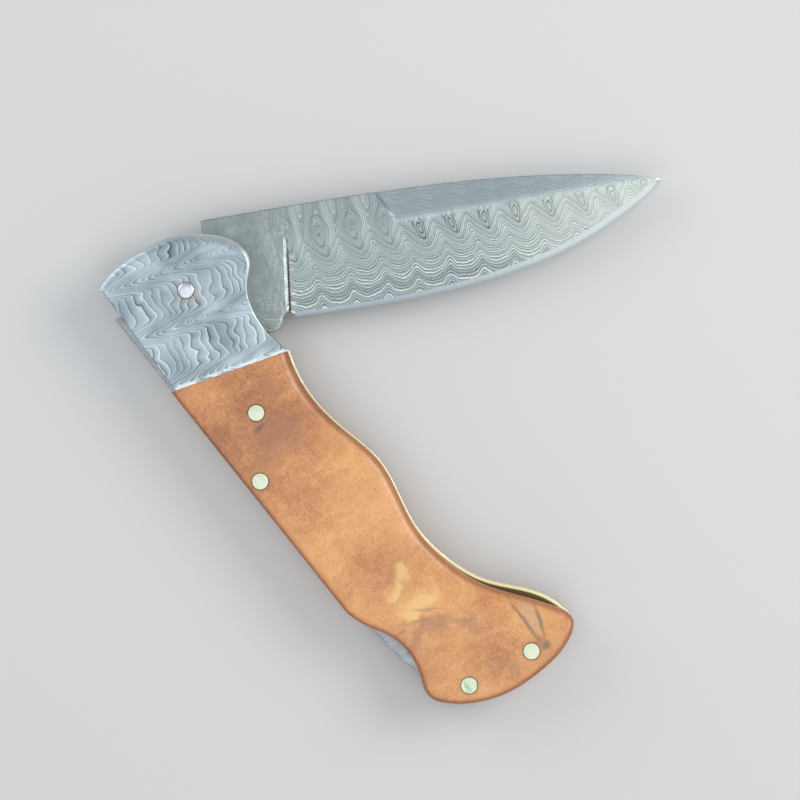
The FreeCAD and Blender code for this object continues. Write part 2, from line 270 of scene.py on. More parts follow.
def plateMesh(name, sheet, high, low):
    # both faces share the sheet's triangles, and each open edge of the upper face carries a wall down
    flat, tris = sheet
    count = len(flat)
    a, b = tris.ravel(), np.roll(tris, -1, axis=1).ravel()
    rim = ~np.isin(a * count + b, b * count + a)
    walls = np.column_stack([a[rim] + count, b[rim] + count, b[rim], a[rim]])
    verts = np.concatenate([np.column_stack([flat, high]), np.column_stack([flat, low])]) * mm
    mesh = bpy.data.meshes.new(name)
    mesh.from_pydata(verts.tolist(), [], tris.tolist() + (tris[:, ::-1] + count).tolist() + walls.tolist())
    return mesh


def storeDistance(mesh, name, values):
    # one value for each point, for a finish to read
    mesh.attributes.new(name, "FLOAT", "POINT").data.foreach_set("value", values)


def turnedMesh(name, centre, profile, count=64):
    # a profile of radius and height carried round an upright axis, from a point on it to another
    r, z = np.array(profile[1:-1], float).T
    a = np.linspace(0, 2 * math.pi, count, endpoint=False)
    ring = np.stack([np.outer(r, np.cos(a)) + centre[0], np.outer(r, np.sin(a)) + centre[1],
                     np.outer(z, np.ones(count))], axis=2).reshape(-1, 3)
    ends = [[*centre, profile[0][1]], [*centre, profile[-1][1]]]
    ids = np.arange(len(r) * count).reshape(len(r), count)
    nextIds = np.roll(ids, -1, axis=1)
    sides = np.stack([ids[:-1], nextIds[:-1], nextIds[1:], ids[1:]], axis=2).reshape(-1, 4)
    first, last = len(ring), len(ring) + 1
    under = np.column_stack([nextIds[0], ids[0], np.full(count, first)])
    over = np.column_stack([ids[-1], nextIds[-1], np.full(count, last)])
    mesh = bpy.data.meshes.new(name)
    verts = np.concatenate([ring, ends]) * mm
    mesh.from_pydata(verts.tolist(), [], sides.tolist() + under.tolist() + over.tolist())
    return mesh


# Node helpers

class Wire:
    # an output of a node that sums can be written with: each sign becomes a Math node in the same tree
    def __init__(self, socket):
        self.socket = socket
        self.tree = socket.id_data

    def __add__(self, other):
        return calc("ADD", self, other)

    def __sub__(self, other):
        return calc("SUBTRACT", self, other)

    def __rsub__(self, other):
        return calc("SUBTRACT", other, self)

    def __mul__(self, other):
        return calc("MULTIPLY", self, other)

    def __truediv__(self, other):
        return calc("DIVIDE", self, other)

    def __neg__(self):
        return calc("MULTIPLY", self, -1.0)

    def __abs__(self):
        return calc("ABSOLUTE", self)


def treeOf(*values):
    return next(value.tree for value in values if isinstance(value, Wire))


def put(tree, kind, settings=None, output=0, **inputs):
    # an output of a new node, whose inputs are set to values or joined to wires; i0, i1 are inputs by number
    node = tree.nodes.new(kind)
    for key, value in (settings or {}).items():
        setattr(node, key, value)
    for key, value in inputs.items():
        name = key.replace("_", " ")
        socket = node.inputs[int(name[1:])] if name[1:].isdigit() else node.inputs[name]
        if isinstance(value, Wire):
            tree.links.new(value.socket, socket)
        else:
            socket.default_value = value
    return Wire(node.outputs[output])


def calc(operation, a, b=0.0):
    return put(treeOf(a, b), "ShaderNodeMath", {"operation": operation}, i0=a, i1=b)


def vectorCalc(operation, *values, output=0):
    inputs = {f"i{number}": value for number, value in enumerate(values)}
    return put(treeOf(*values), "ShaderNodeVectorMath", {"operation": operation}, output, **inputs)


def scaled(value, fromLow, fromHigh, toLow=0.0, toHigh=1.0):
    # eases from one pair of limits to another and stays there
    return put(value.tree, "ShaderNodeMapRange", {"interpolation_type": "SMOOTHSTEP"}, Value=value,
               From_Min=fromLow, From_Max=fromHigh, To_Min=toLow, To_Max=toHigh)


def noise(where, scale, detail=2.0, roughness=0.5, output=0):
    return put(where.tree, "ShaderNodeTexNoise", None, output, Vector=where, Scale=scale, Detail=detail,
               Roughness=roughness)


def mixed(factor, a, b, blend="MIX"):
    settings = {"data_type": "RGBA", "blend_type": blend}
    return put(factor.tree, "ShaderNodeMix", settings, output=2, i0=factor, i6=a, i7=b)


def ramp(value, stops):
    wire = put(value.tree, "ShaderNodeValToRGB", Fac=value)
    elements = wire.socket.node.color_ramp.elements
    while len(elements) < len(stops):
        elements.new(0.5)
    for element, (place, colour) in zip(elements, stops):
        element.position = place
        element.color = colour
    return wire


def placed(tree, location=(0, 0, 0), degrees=0.0):
    # the piece's own coordinates in millimetres, turned about the vertical, then moved
    where = put(tree, "ShaderNodeTexCoord", output="Object")
    spin = (0, 0, math.radians(degrees))
    return put(tree, "ShaderNodeMapping", Vector=where, Location=location, Rotation=spin, Scale=[1 / mm] * 3)


def stored(tree, name):
    # a value that the mesh holds for each point
    return put(tree, "ShaderNodeAttribute", {"attribute_name": name}, output="Fac")


def parts(vector):
    first = put(vector.tree, "ShaderNodeSeparateXYZ", Vector=vector)
    return [Wire(socket) for socket in first.socket.node.outputs]


def distorted(where, scale, reach):
    # the place pushed about by slow noise, up to half the reach each way
    push = vectorCalc("SUBTRACT", noise(where, scale, output=1), (0.5, 0.5, 0.5))
    return vectorCalc("MULTIPLY_ADD", push, reach, where)


def drawnOut(where, scale, degrees=0.0, detail=2.0, roughness=0.5):
    # noise whose grains are longer where the scale is smaller
    spin = (0, 0, math.radians(degrees))
    drawn = put(where.tree, "ShaderNodeMapping", Vector=where, Rotation=spin, Scale=scale)
    return noise(drawn, 1.0, detail, roughness)


def newGroup(name, inputs, output):
    # an empty group: its tree, its inputs as wires and the socket of its one output
    tree = bpy.data.node_groups.new(name, "ShaderNodeTree")
    for label, value in inputs.items():
        kind = "NodeSocketVector" if isinstance(value, tuple) else "NodeSocketFloat"
        socket = tree.interface.new_socket(label, in_out="INPUT", socket_type=kind)
        socket.default_value = value
    tree.interface.new_socket(output, in_out="OUTPUT", socket_type="NodeSocketFloat")
    start = tree.nodes.new("NodeGroupInput").outputs
    return tree, [Wire(start[label]) for label in inputs], tree.nodes.new("NodeGroupOutput").inputs[output]


def useGroup(group, **inputs):
    return put(treeOf(*inputs.values()), "ShaderNodeGroup", {"node_tree": group}, **inputs)


def newMaterial(name):
    material = bpy.data.materials.new(name)
    material.use_nodes = True
    tree = material.node_tree
    return material, tree, tree.nodes["Principled BSDF"]


def finishShader(shader, colour, roughness, height, distance, strength, **values):
    # joins colour, roughness and relief to the shader and sets its constants
    tree = colour.tree
    bump = put(tree, "ShaderNodeBump", Height=height, Strength=strength, Distance=distance * mm)
    for name, wire in (("Base Color", colour), ("Roughness", roughness), ("Normal", bump)):
        tree.links.new(wire.socket, shader.inputs[name])
    for key, value in values.items():
        shader.inputs[key.replace("_", " ")].default_value = value


# Effects that several finishes share

# place within a layer, tone
lineProfile = [(0.0, 0.02), (0.22, 0.38), (0.5, 0.5), (0.72, 0.58), (0.88, 0.92), (1.0, 0.55)]
lineStrength = (0.5, 1.45)      # of the faintest and the strongest layer
layerShift = 0.08               # of the tone between groups of layers
firstLayer = 40.0               # keeps the count of the layers above zero


def layerLines():
    # folded layers met by a ground face: each count of the layers opens with a dark line, clears and ends in
    # a pale one, and the lines differ in strength from layer to layer
    tree, (layer, contrast), out = newGroup("layerLines", {"Layer": 0.0, "Contrast": 1.0}, "Tone")
    line = ramp(calc("FRACT", layer), [(place, (tone, tone, tone, 1)) for place, tone in lineProfile])
    settings = {"noise_dimensions": "1D"}
    random = put(tree, "ShaderNodeTexWhiteNoise", settings, "Value", W=calc("FLOOR", layer))
    strength = scaled(random, 0.0, 1.0, *lineStrength)
    slow = put(tree, "ShaderNodeTexNoise", settings, W=layer, Scale=0.37, Detail=1.0)
    body = scaled(slow, 0.3, 0.7, -layerShift, layerShift)
    tone = ((line - 0.5) * strength + body) * contrast + 0.5
    tree.links.new(tone.socket, out)
    return tree


def satinMarks():
    # fine rubbing marks: noise drawn out along one direction
    inputs = {"Vector": (0, 0, 0), "Length": 0.3, "Across": 14.0}
    tree, (where, length, across), out = newGroup("satinMarks", inputs, "Marks")
    x, y, z = parts(where)
    drawn = put(tree, "ShaderNodeCombineXYZ", X=x * length, Y=y * across, Z=z * across)
    tree.links.new(noise(drawn, 1.0, 3.0, 0.6).socket, out)
    return tree


def softSpot():
    # an ellipse that fades out towards its rim, by the distance from its centre in its own half lengths
    inputs = {"Vector": (0, 0, 0), "Centre": (0, 0, 0), "Turn": 0.0, "Size": (1, 1, 1)}
    tree, (where, centre, turn, size), out = newGroup("softSpot", inputs, "Mask")
    gap = vectorCalc("SUBTRACT", where, centre)
    settings = {"rotation_type": "Z_AXIS"}
    spun = put(tree, "ShaderNodeVectorRotate", settings, Vector=gap, Angle=calc("RADIANS", turn))
    reach = vectorCalc("LENGTH", vectorCalc("DIVIDE", spun, size), output="Value")
    tree.links.new(scaled(reach, 1.0, 0.25).socket, out)
    return tree


layerLinesGroup = layerLines()
satinMarksGroup = satinMarks()
softSpotGroup = softSpot()


def spot(where, centre, turn, size):
    # reaches right through the thickness
    return useGroup(softSpotGroup, Vector=where, Centre=(*centre, 0), Turn=-turn, Size=(*size, 1000))


def tinted(where, colour, spots, tint, amount):
    # lays each soft spot of a tint over the colour
    for centre, turn, size in spots:
        colour = mixed(spot(where, centre, turn, size) * amount, colour, tint)
    return colour


def satinMetal(name, dark, light, rough, marks=(0.3, 9.0), patina=None, paleEdge=None):
    # plain metal with rubbing marks and slow changes of tone, a patina where one is given, and a painted
    # highlight on the edges, by the stored distance from the edge, where its colour is given
    material, tree, shader = newMaterial(name)
    where = placed(tree)
    lines = useGroup(satinMarksGroup, Vector=where, Length=marks[0], Across=marks[1])
    tone = lines * 0.6 + noise(where, 0.5, 3.0) * 0.4
    colour = ramp(tone, [(0.3, dark), (0.7, light)])
    if patina:
        colour = mixed(scaled(noise(where, 0.9, 3.0), 0.48, 0.7, 0.0, 0.7), colour, patina)
    if paleEdge:
        # painted highlight: the edges are painted paler towards the rim
        colour = mixed(scaled(stored(tree, "fromEdge"), 0.3, 0.1), colour, paleEdge)
    roughness = scaled(tone, 0.25, 0.75, *rough)
    finishShader(shader, colour, roughness, lines, distance=0.01, strength=0.25, Metallic=1.0)
    return material


plainMetals = {
    "groundBarSteel": {"dark": (0.27, 0.285, 0.30, 1), "light": (0.46, 0.48, 0.50, 1), "rough": (0.4, 0.3),
                       "marks": (6.0, 0.3)},
    # the lock bar's pale edge colour is a painted highlight
    "barSteelEdgeHighlight": {"dark": (0.24, 0.26, 0.28, 1), "light": (0.42, 0.44, 0.46, 1), "rough": (0.4, 0.3),
                       "marks": (6.0, 0.3), "paleEdge": (0.56, 0.58, 0.60, 1)},
    "pinSilver": {"dark": (0.64, 0.69, 0.52, 1), "light": (0.74, 0.79, 0.62, 1), "rough": (0.42, 0.34),
                  "marks": (0.8, 1.5)},
    "pinAged": {"dark": (0.60, 0.68, 0.50, 1), "light": (0.72, 0.80, 0.62, 1), "rough": (0.44, 0.34),
                "marks": (0.8, 1.5), "patina": (0.24, 0.46, 0.30, 1)},
    "pivotSteel": {"dark": (0.58, 0.63, 0.68, 1), "light": (0.74, 0.79, 0.83, 1), "rough": (0.36, 0.26),
                   "marks": (0.8, 1.5)},
    "plainBronze": {"dark": (0.42, 0.27, 0.12, 1), "light": (0.62, 0.42, 0.20, 1), "rough": (0.45, 0.32)}}

metals = {name: satinMetal(name, **look) for name, look in plainMetals.items()}
print("plain metals made")


# Handle

handle = {
    "nose": [(-10.8, -12.49), (-11.69, -7.4), (-11.1, -1.1), (-9.6, 4.5), (-6.9, 8.6), (-2.1, 12.8),
        (1.6, 13.5), (3.9, 12.4), (6.6, 9.5), (9.6, 7.9), (14.0, 7.1), (21.0, 8.1)],
    "belly": [(21.0, 8.1), (30.4, 6.2), (38.9, 7.1), (48.0, 8.7), (61.8, 6.35), (69.9, 7.0), (78.3, 10.3),
        (86.0, 16.3), (92.0, 18.65)],
    "butt": [(92.0, 18.65), (94.6, 18.5), (96.6, 16.1), (98.19, 8.35), (97.5, 0.15), (93.8, -7.8),
        (91.0, -10.75), (89.6, -11.6), (88.3, -11.85)],
    "notch": [(88.3, -11.85), (87.1, -11.7), (85.6, -11.1), (84.0, -10.5), (79.5, -9.7), (74.4, -10.9),
        (71.3, -12.6), (66.4, -14.2)],
    "woodJoint": (13.32, -14.2), "bolsterJoint": (13.61, -13.36), "outer": 3.9, "liner": 1.0, "top": 13.3,
    "rivet": (26.4, -4.0), "rocker": (37.0, -11.47), "buttPins": [(94.07, 8.69), (91.79, -4.55)],
    "pin": 1.6, "gap": 0.05}

scalePins = [handle["rivet"], handle["rocker"], *handle["buttPins"]]


def frontAndRear(name, sheet, fall):
    # the same plate on both sides: its outer face falls towards the flat inner one
    inner = np.full(len(fall), handle["outer"])
    front = plateMesh("front" + name, sheet, handle["top"] - fall, handle["top"] - inner)
    return front, plateMesh("rear" + name, sheet, inner, fall)


# trends change the tone along the handle: from x, to x, from tone, to tone; spots and lines are given by
# centre, turn and half lengths
woodLook = {
    "pale": (0.84, 0.41, 0.142, 1), "mid": (0.61, 0.252, 0.077, 1), "deep": (0.38, 0.13, 0.038, 1),
    "red": (0.50, 0.19, 0.07, 1), "yellow": (0.97, 0.63, 0.23, 1), "smoke": (0.40, 0.175, 0.09, 1),
    "wedge": (0.58, 0.39, 0.24, 1), "black": (0.10, 0.065, 0.035, 1), "rim": (0.52, 0.35, 0.2, 1),
    "halo": (0.20, 0.10, 0.045, 1), "haloSize": (2.5, 2.5),
    "amounts": {"fleck": 0.26, "cloud": 0.48, "grain": 0.32, "speckle": 0.32, "blush": 0.22, "yellow": 0.62,
        "smoke": 0.46, "pore": 0.4, "wedge": 0.55, "faint": 0.55, "black": 0.6, "rim": 0.85, "halo": 0.75},
    "trends": [(20.0, 56.0, -0.07, 0.17), (70.0, 82.0, 0.0, -0.05), (25.0, 15.0, 0.0, 0.12)],
    "yellowSpots": [((66.7, -1.0), 0, (2.2, 1.8)), ((68.7, -4.1), 120, (3.6, 1.5)),
        ((73.4, -1.9), 71, (5.2, 2.3)), ((74.8, -3.9), 60, (3.8, 1.6))],
    "smokeSpots": [((79.2, -8.0), 95, (3.8, 2.0)), ((78.4, -5.0), 90, (3.8, 2.1)),
        ((79.0, -1.9), 70, (3.8, 2.3)), ((80.9, 0.8), 50, (4.0, 2.2)), ((83.2, 3.0), 42, (4.2, 2.0)),
        ((92.6, 2.4), 52, (6.5, 0.9)), ((32.5, -3.5), 70, (9.0, 5.0)), ((25.0, 0.8), 100, (3.0, 1.6))],
    "wedgeSpots": [((88.6, 12.7), -8, (5.0, 2.4))],
    "lines": [((88.8, 11.25), -2, (7.2, 0.55)), ((90.4, 13.6), -20, (4.8, 0.6)),
        ((95.0, 11.75), 0, (1.4, 1.3)), ((29.0, -5.4), 105, (2.0, 0.8))],
    "faintLines": [((28.2, -9.6), 68, (4.4, 0.6)), ((31.0, -1.6), 60, (3.0, 0.5)),
        ((76.0, -8.6), 88, (2.2, 0.6)), ((76.2, -4.7), 68, (3.4, 0.6)), ((75.4, -2.1), 56, (3.6, 0.5)),
        ((93.6, 11.3), 0, (2.4, 1.6))]}


def oiledWood():
    # figured hardwood: broad clouds of tone, flecks across the handle, fine grain and specks, small dark
    # pores, marks and spots, and painted shade on the rounded rims, redder and darker by the stored distance
    # from the edge
    s, a = woodLook, woodLook["amounts"]
    material, tree, shader = newMaterial("oiledWood")
    where = placed(tree)
    bent = distorted(where, 0.16, (5.0, 5.0, 2.0))
    cloud = noise(bent, 0.085)
    fleck = drawnOut(distorted(bent, 0.3, (4.0, 4.0, 2.0)), (0.7, 0.36, 0.5), degrees=30)
    grain = drawnOut(where, (1.1, 2.6, 2.2), degrees=8, detail=3.0, roughness=0.7)
    speckle = noise(where, 2.4, 2.0, 0.6)
    figure = fleck * a["fleck"] + cloud * a["cloud"] + grain * a["grain"] + speckle * a["speckle"]
    for trend in s["trends"]:
        figure = figure + scaled(parts(where)[0], *trend)
    colour = ramp(figure, [(0.57, s["deep"]), (0.73, s["mid"]), (0.93, s["pale"])])
    colour = mixed(scaled(noise(bent, 0.13), 0.45, 0.7) * a["blush"], colour, s["red"])
    blurred = distorted(bent, 0.55, (3.0, 3.0, 0))
    colour = tinted(blurred, colour, s["yellowSpots"], s["yellow"], a["yellow"])
    colour = tinted(blurred, colour, s["smokeSpots"], s["smoke"], a["smoke"])
    pore = scaled(drawnOut(where, (1.6, 4.5, 2.0), degrees=8, roughness=0.6), 0.36, 0.25)
    colour = mixed(pore * a["pore"], colour, s["deep"])
    shaken = distorted(where, 0.35, (1.0, 1.0, 0))
    colour = tinted(shaken, colour, s["wedgeSpots"], s["wedge"], a["wedge"])
    colour = tinted(shaken, colour, s["faintLines"], s["smoke"], a["faint"])
    colour = tinted(shaken, colour, s["lines"], s["black"], a["black"])
    inward = stored(tree, "fromEdge")
    # painted shade: redder, then darker, towards the rounded edges
    colour = mixed(scaled(inward, 2.6, 0.2, 0.0, 0.35), colour, s["red"])
    colour = mixed(scaled(inward, 1.3, 0.1, 0.0, a["rim"]), colour, s["rim"], "MULTIPLY")
    colour = tinted(where, colour, [(pin, 0, s["haloSize"]) for pin in scalePins], s["halo"], a["halo"])
    roughness = scaled(fleck, 0.3, 0.75, 0.46, 0.34)
    finishShader(shader, colour, roughness, grain - pore * 0.8, distance=0.03, strength=0.3, Coat_Weight=0.8,
                 Coat_Roughness=0.26)
    return material


# rounds are radii at the start and end of each run: spine, notch, butt, belly, joint
scaleLook = {
    "bellyInset": [0.2, 0.2, 0.2, 0.2, 0.28, 0.5, 1.0, 1.7, 0.2], "jointSlant": 19.0,
    "rounds": [(0.9, 0.9), (0.9, 1.1), (1.1, 1.3), (1.3, 1.7), (0.08, 0.08)], "holeRound": 0.14,
    "shoulder": 1.1, "shoulderReach": 5.4, "shoulderPower": 1.5, "shoulderStart": (18.0, 10.0),
    "crown": 0.12, "crownReach": 3.0, "wallInward": 1.2, "spacing": 1.2, "rows": 8}


def scaleRuns():
    # the wood's outline stands inside the liner's along the belly, by an inset at each of its points
    h, s = handle, scaleLook
    belly = np.array(h["belly"])
    belly[:, 1] -= s["bellyInset"]
    belly[0, 0] -= s["bellyInset"][0] * math.tan(math.radians(s["jointSlant"]))
    spine = straightRun([h["woodJoint"], h["notch"][-1]])
    notch = splineThrough(backward(h["notch"]))
    butt = splineThrough(np.concatenate([backward(h["butt"])[:-1], belly[-1:]]))
    return [spine, notch, butt, splineThrough(belly[::-1]), straightRun([belly[0], h["woodJoint"]])]


def woodScales():
    # flat slabs with a slight crown, a shoulder and a round along the belly and a tighter one along the spine
    s, wood = scaleLook, oiledWood()
    runs = scaleRuns()
    holes = [ringHole(pin, handle["pin"] + handle["gap"]) for pin in scalePins]
    sheet = sheetOf(closedLoop(*runs), holes, (), s["spacing"], roundRows(np.max(s["rounds"]), s["rows"]))
    flat = sheet[0]
    rings = [np.concatenate([hole, hole[:1]]) for hole in holes]
    radii = [np.linspace(*ends, len(run)) for run, ends in zip(runs, s["rounds"])]
    fall = rimFall(flat, runs + rings, radii + [s["holeRound"]] * len(rings))
    toBelly = runDistance(flat, runs[3:4])
    start, length = s["shoulderStart"]
    shoulder = s["shoulder"] * np.clip(1 - toBelly / s["shoulderReach"], 0, 1) ** s["shoulderPower"]
    fall = fall + shoulder * smoothStep((flat[:, 0] - start) / length)
    fall = np.maximum(fall, s["crown"] * np.exp(-runDistance(flat, runs[:3]) / s["crownReach"]))
    inward = runDistance(flat, runs[:4])
    beside = inward + s["wallInward"]
    front, rear = frontAndRear("Scale", sheet, fall)
    storeDistance(front, "fromEdge", np.concatenate([inward, beside]))
    storeDistance(rear, "fromEdge", np.concatenate([beside, inward]))
    newPiece("frontScale", front, "handle", ["front_scale"], [wood])
    newPiece("rearScale", rear, "handle", ["rear_scale"], [wood])


bolsterPattern = {
    "turn": 70.95, "rung": 10.5, "firstRung": 11.4, "width": 2.5, "lift": 0.42, "slope": 0.055,
    "wallSlope": 0.2, "pair": 0.09, "jagStep": 1.3, "jag": 0.055, "eyeLift": 0.15, "rough": 0.13,
    "fine": 0.005, "dark": (0.095, 0.12, 0.145, 1), "shade": (0.31, 0.38, 0.42, 1),
    "mid": (0.43, 0.515, 0.56, 1), "light": (0.70, 0.785, 0.82, 1), "bright": (0.90, 0.95, 0.95, 1),
    "tan": (0.45, 0.34, 0.2, 1), "tanSpots": [((0.7, 0.1), 0, (3.1, 3.1))], "contrast": 0.64, "rimFade": 0.4,
    "amounts": {"rim": 0.45, "paleEdge": 0.7, "tan": 0.5},
    "eyes": [((-5.7, 0.16), 0, (1.5, 1.5)), ((4.73, -3.52), 0, (1.6, 1.6)), ((6.29, 0.58), 71, (2.6, 1.3)),
        ((8.94, 6.97), 0, (1.5, 1.5)), ((-4.35, 4.91), 71, (4.6, 1.6))]}


def etchedBolsterSteel():
    # wide pressed rungs run beside the joint: streaks along each rung, and lines that cross between them
    s, a = bolsterPattern, bolsterPattern["amounts"]
    middle = handle["top"] / 2
    material, tree, shader = newMaterial("etchedBolsterSteel")
    corner = turned([handle["nose"][-1]], -s["turn"])[0]
    where = placed(tree, (-corner[0], -corner[1], 0), -s["turn"])
    plain = placed(tree)
    along, away, _ = parts(distorted(where, 0.12, (7.0, 1.0, 0)))
    band = scaled(calc("PINGPONG", away - s["firstRung"], s["rung"] / 2), s["width"], 0.0)
    depth = band * s["lift"] + along * s["slope"]
    jagged = scaled(along, -9.0, -3.0) * scaled(away, 9.0, 14.0)
    depth = depth + calc("PINGPONG", away, s["jagStep"]) * jagged * s["jag"]
    for centre, turn, size in s["eyes"]:
        depth = depth + spot(plain, centre, turn, size) * s["eyeLift"]
    depth = depth + (drawnOut(where, (0.25, 0.4, 0.3), detail=1.0) - 0.5) * s["rough"]
    depth = depth + (noise(where, 1.6) - 0.5) * s["fine"]
    fall = middle - abs(parts(plain)[2] - middle)       # below either outer face
    depth = depth + fall * s["wallSlope"]
    # the rounded rim below either face: its etched lines fade, and it is painted paler, a painted reflection
    rim = scaled(fall, 0.03, 0.4) * scaled(fall, 1.6, 1.1)
    contrast = s["contrast"] - rim * s["rimFade"]
    tone = useGroup(layerLinesGroup, Layer=depth / s["pair"] + firstLayer, Contrast=contrast)
    tone = tone + scaled(noise(where, 0.14), 0.3, 0.7, -0.13, 0.13)
    colour = ramp(tone, [(0.06, s["dark"]), (0.36, s["shade"]), (0.56, s["mid"]), (0.92, s["light"])])
    colour = mixed(rim * a["rim"], colour, s["bright"])
    # paler in an uneven line along the joint with the wood
    paleEdge = scaled(drawnOut(where, (0.5, 2.0, 1), detail=3.0), 0.4, 0.52)
    colour = mixed(paleEdge * scaled(parts(where)[1], 0.95, 0.45) * a["paleEdge"], colour, s["bright"])
    colour = tinted(plain, colour, s["tanSpots"], s["tan"], a["tan"])
    marks = useGroup(satinMarksGroup, Vector=where)
    roughness = scaled(marks * 0.3 + tone, 0.2, 1.1, 0.46, 0.33)
    finishShader(shader, colour, roughness, tone, distance=0.012, strength=0.16, Metallic=1.0)
    return material


# noseRound gives radii at places along the handle
bolsterLook = {
    "spacing": 1.0, "jointRound": 0.14, "spineRound": 0.2, "holeGap": 0.06, "rows": 8, "noseFall": 0.55,
    "noseRound": ([-11.7, -8.0, -2.0, 3.0, 8.0], [1.4, 2.0, 2.0, 1.0, 0.3])}


def steelBolsters():
    # flat plates whose nose is rounded most at its top and stays crisp where it meets the wood
    h, s, steel = handle, bolsterLook, etchedBolsterSteel()
    spine = straightRun([h["nose"][0], h["bolsterJoint"]])
    joint = straightRun([h["bolsterJoint"], h["nose"][-1]])
    nose = splineThrough(backward(h["nose"]))
    hole = ringHole((0, 0), h["pin"] + s["holeGap"])
    rows = roundRows(max(s["noseRound"][1]), s["rows"])
    sheet = sheetOf(closedLoop(spine, joint, nose), [hole], (), s["spacing"], rows)
    flat = sheet[0]
    fall = s["noseFall"] * rimFall(flat, [nose], [np.interp(nose[:, 0], *s["noseRound"])])
    fall = np.maximum(fall, rimFall(flat, [spine, joint], [s["spineRound"], s["jointRound"]]))
    front, rear = frontAndRear("Bolster", sheet, fall)
    newPiece("frontBolster", front, "handle", ["front_bolster"], [steel])
    newPiece("rearBolster", rear, "handle", ["rear_bolster"], [steel])


linerLook = {
    "round": 0.12, "spacing": 2.0, "rows": [0.4, 0.8, 1.3], "dark": (0.50, 0.41, 0.18, 1),
    "light": (0.62, 0.52, 0.25, 1), "bright": (0.92, 0.84, 0.52, 1), "paintedShade": (0.10, 0.07, 0.03, 1)}


def linerBrass():
    # a painted highlight along the outer edge and painted shade beside the wood, by the stored distance from
    # the edge
    s = linerLook
    material, tree, shader = newMaterial("linerBrass")
    marks = useGroup(satinMarksGroup, Vector=placed(tree), Length=0.3, Across=6.0)
    inward = stored(tree, "fromEdge")
    colour = ramp(marks, [(0.3, s["dark"]), (0.7, s["light"])])
    # painted highlight on the outer edge, then painted shade further in, where the wood stands over the brass
    colour = mixed(scaled(inward, 0.45, 0.2), colour, s["bright"])
    colour = mixed(scaled(inward, 0.42, 0.66), colour, s["paintedShade"])
    roughness = scaled(marks, 0.25, 0.75, 0.42, 0.34)
    finishShader(shader, colour, roughness, marks, distance=0.004, strength=0.2, Metallic=1.0)
    return material


def brassLiners():
    # thin plates in the outline of the whole handle, with softened edges on both faces
    h, s, brass = handle, linerLook, linerBrass()
    runs = [straightRun([h["nose"][0], h["bolsterJoint"], h["woodJoint"], h["notch"][-1]])]
    runs += [splineThrough(backward(h[name])) for name in ("notch", "butt", "belly", "nose")]
    holes = [ringHole(pin, h["pin"] + h["gap"]) for pin in [(0, 0), *scalePins]]
    sheet = sheetOf(closedLoop(*runs), holes, (), s["spacing"], roundRows(s["round"], 3) + s["rows"])
    fall = rimFall(sheet[0], runs, [s["round"]] * len(runs))
    inward = np.tile(runDistance(sheet[0], runs), 2)
    for name, node, low in (("rearLiner", "rear_liner", h["outer"]),
                            ("frontLiner", "front_liner", h["top"] - h["outer"] - h["liner"])):
        mesh = plateMesh(name, sheet, low + h["liner"] - fall, low + fall)
        storeDistance(mesh, "fromEdge", inward)
        newPiece(name, mesh, "handle", [node], [brass])


barLook = {
    "lift": 2.05, "low": 5.0, "high": 8.3, "round": 0.35, "hole": 1.65, "spacing": 1.2,
    "back": [(-4.55, -12.71), (37.0, -14.2), (62.2, -14.2)],
    "tail": [(62.2, -14.2), (75.4, -13.7), (79.5, -13.4), (84.0, -12.5)],
    "end": [(84.0, -12.5), (84.4, -11.7), (83.4, -10.9)],
    "front": [(83.4, -10.9), (80.0, -10.2), (70.0, -9.4), (44.1, -9.4), (40.6, -8.87), (33.4, -8.87),
        (29.9, -10.1), (-1.0, -8.99), (-1.0, -7.4), (-4.35, -7.4), (-4.55, -12.71)]}


def steelLockBar():
    # the bar drawn locked and turned about its pin to its lifted rest, with broken edges on both faces
    s = barLook
    runs = [straightRun(s["back"]), splineThrough(s["tail"]), splineThrough(s["end"], step=0.15),
            straightRun(s["front"])]
    runs = [turned(run, s["lift"], handle["rocker"]) for run in runs]
    hole = ringHole(handle["rocker"], s["hole"])
    sheet = sheetOf(closedLoop(*runs), [hole], (), s["spacing"], roundRows(s["round"], 3))
    fall = rimFall(sheet[0], runs, [s["round"]] * len(runs))
    mesh = plateMesh("lockBar", sheet, s["high"] - fall, s["low"] + fall)
    storeDistance(mesh, "fromEdge", np.tile(runDistance(sheet[0], runs), 2))
    newPiece("lockBar", mesh, "lock_bar", ["lock_bar"], [metals["barSteelEdgeHighlight"]])


springLook = {
    "touch": (70.0, -9.4), "play": 0.1, "thickness": 1.2, "bow": 0.8, "rootHeight": -7.7, "held": 2.8,
    "round": 0.15, "spacing": 0.8, "steps": 48}


def leafSpring():
    # a leaf from its root in the spacer to the end that bears on the bar's tail: the chord plus a bow that
    # falls off with the square of the distance from the middle
    s, bar = springLook, barLook
    aside = np.array([0, s["thickness"] / 2])
    tip = turned([s["touch"]], bar["lift"], handle["rocker"])[0] + [0, s["play"]] + aside
    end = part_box("lock_spring")[1][0] / mm
    root = np.array([end - s["held"], s["rootHeight"]])
    t = np.linspace(-1, 1, s["steps"])[:, None]
    leaf = (tip * (1 - t) + root * (1 + t)) / 2 + s["bow"] * (1 - t ** 2) * [0, 1]
    leaf = np.concatenate([leaf, [[end, s["rootHeight"]]]])
    outer, inner = leaf - aside, leaf[::-1] + aside
    runs = [outer, straightRun([outer[-1], inner[0]]), inner, straightRun([inner[-1], outer[0]])]
    sheet = sheetOf(closedLoop(*runs), (), (), s["spacing"], roundRows(s["round"], 2))
    fall = rimFall(sheet[0], runs, [s["round"]] * len(runs))
    mesh = plateMesh("leafSpring", sheet, bar["high"] - fall, bar["low"] + fall)
    piece = newPiece("leafSpring", mesh, None, ["lock_spring"], [metals["groundBarSteel"]])
    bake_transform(piece)


